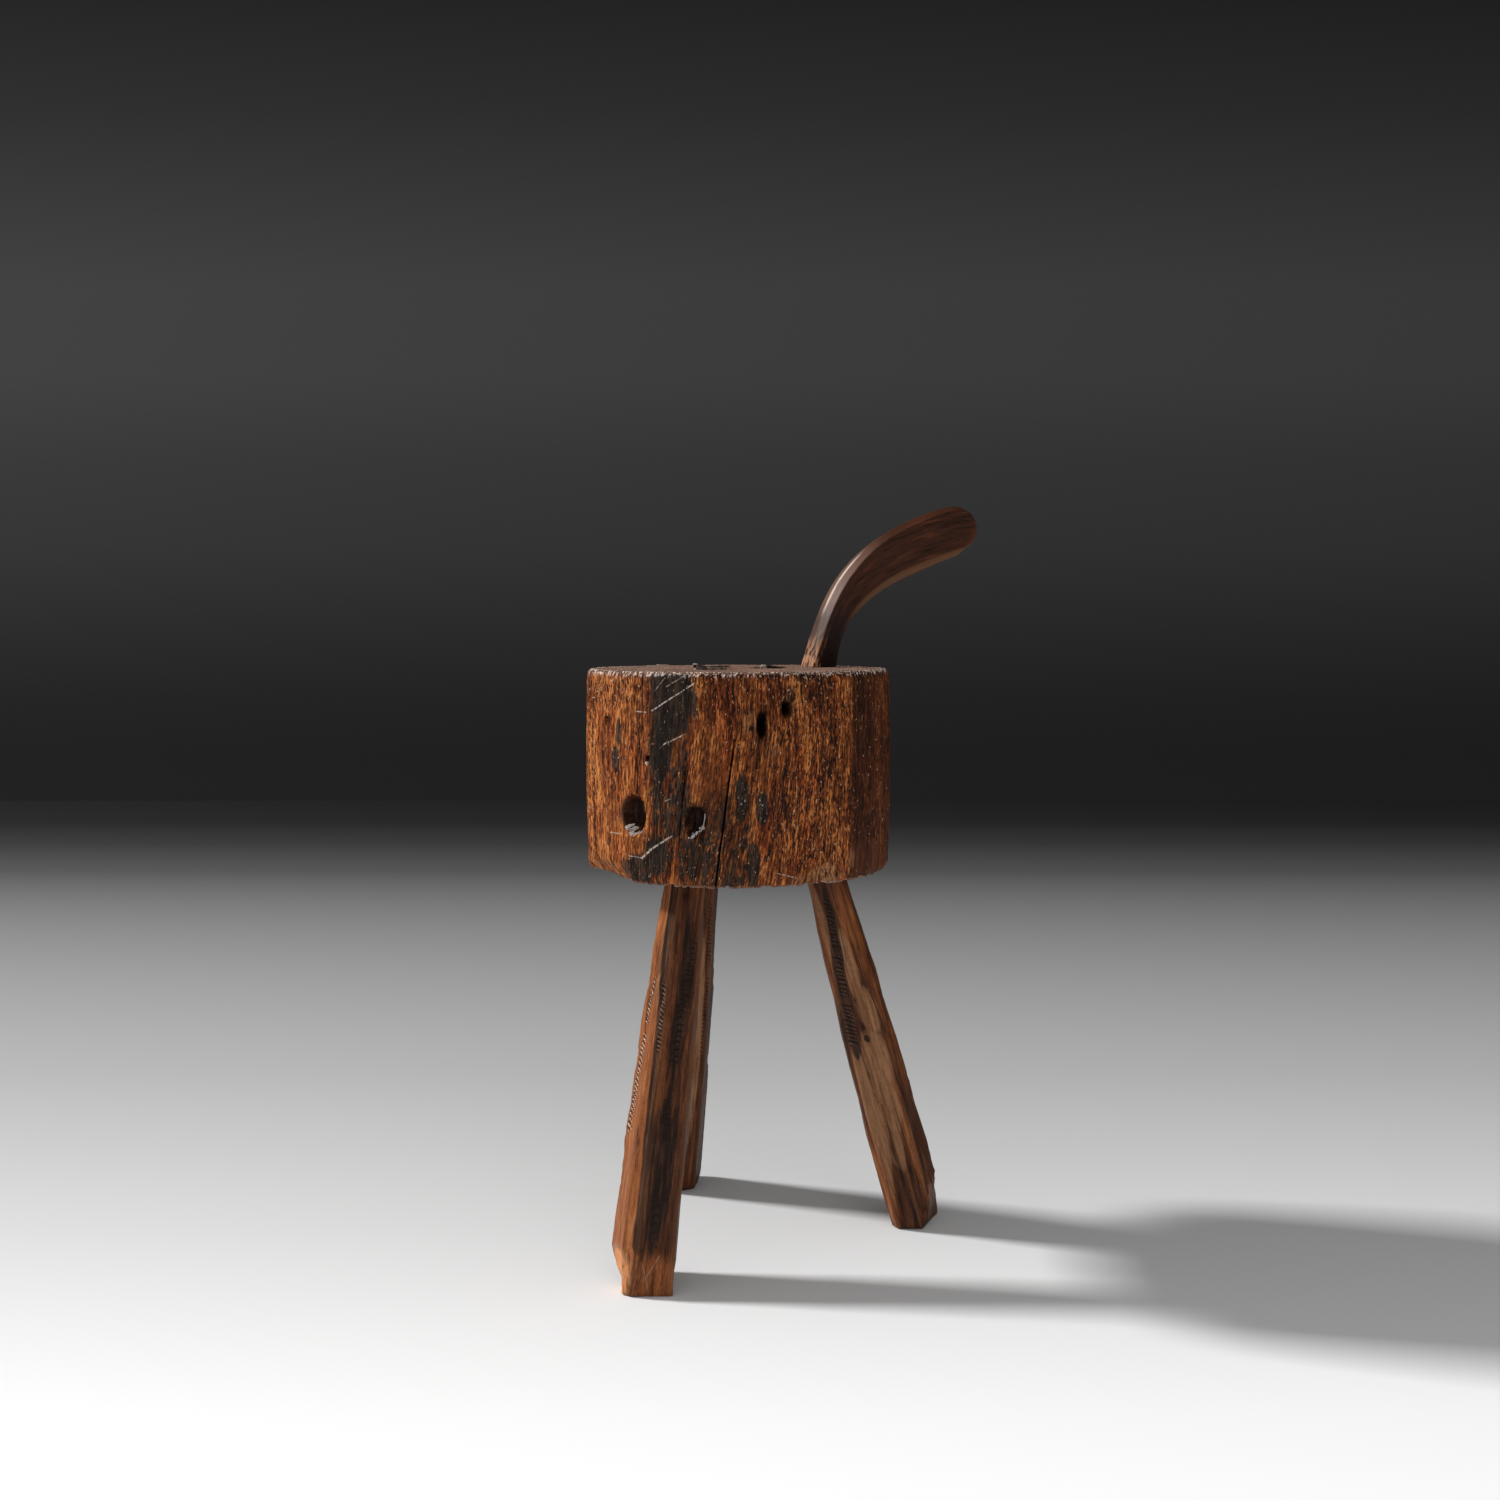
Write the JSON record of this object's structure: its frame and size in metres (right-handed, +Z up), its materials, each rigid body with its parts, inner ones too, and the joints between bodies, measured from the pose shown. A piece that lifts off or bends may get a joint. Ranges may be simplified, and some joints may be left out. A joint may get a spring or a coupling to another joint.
{
  "type": "wooden stool",
  "caption": "Rustic stool: a thick section of log for a seat, splayed hewn legs with wedged through tenons, and a curved carrying handle rising from its top.",
  "frame": {"origin": "on the floor, at the middle of the stool's box seen from above", "axes": "+Z up from the floor, +Y towards the back leg, +X towards the right leg"},
  "size_m": [0.3396, 0.2632, 0.622],
  "materials": {
    "block_wood": "weathered, deeply grained, waxed brown",
    "leg_wood": "hewn flats, worn and waxed",
    "handle_wood": "smooth from handling, dark, satin",
    "wedge_wood": "split, dry, matt"
  },
  "bodies": {
    "root": {"seat_block": "block_wood", "leg_front_left": "leg_wood", "leg_right": "leg_wood", "leg_back": "leg_wood", "wedge_front_left": "wedge_wood", "wedge_right": "wedge_wood", "wedge_back": "wedge_wood", "handle": "handle_wood", "handle_wedge": "wedge_wood"}
  },
  "joints": []
}
